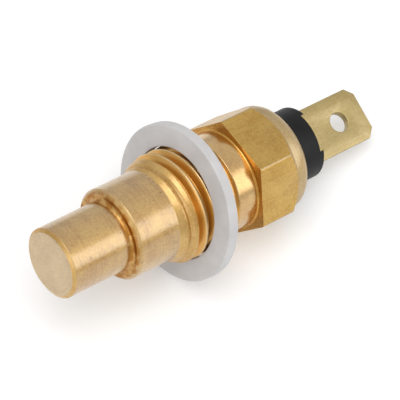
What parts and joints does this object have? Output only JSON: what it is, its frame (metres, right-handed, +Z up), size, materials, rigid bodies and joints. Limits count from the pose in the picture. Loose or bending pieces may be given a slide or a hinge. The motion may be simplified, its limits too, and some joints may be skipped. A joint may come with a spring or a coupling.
{
  "type": "coolant temperature sensor",
  "caption": "Screw-in coolant temperature sensor: turned brass body with probe tip, fine thread and hexagon, loose sealing washer, black insulator and flat blade terminal.",
  "frame": {"origin": "centre of the footprint's box, on the surface that the sensor lies on", "axes": "+Z up; +X along the sensor from the probe tip to the blade, whose axis dips 11.74 degrees towards the blade; Y across it"},
  "size_m": [0.0508, 0.02, 0.0194],
  "materials": {
    "turned_brass": "satin turned",
    "washer_plastic": "matt off-white",
    "insulator_plastic": "satin black",
    "blade_brass": "stamped satin",
    "contact_brass": "stamped satin",
    "seal_rubber": "matt",
    "sleeve_plastic": "matt",
    "spring_steel": "drawn wire",
    "thermistor_ceramic": "matt ceramic"
  },
  "bodies": {
    "root": {"brass_body": "turned_brass", "sealing_washer": "washer_plastic", "insulator": "insulator_plastic", "blade_terminal": "blade_brass", "contact_plate": "contact_brass", "seal_ring": "seal_rubber", "insulating_sleeve": "sleeve_plastic", "contact_spring": "spring_steel", "contact_button": "contact_brass", "thermistor_disc": "thermistor_ceramic", "contact_disc": "contact_brass"}
  },
  "joints": []
}
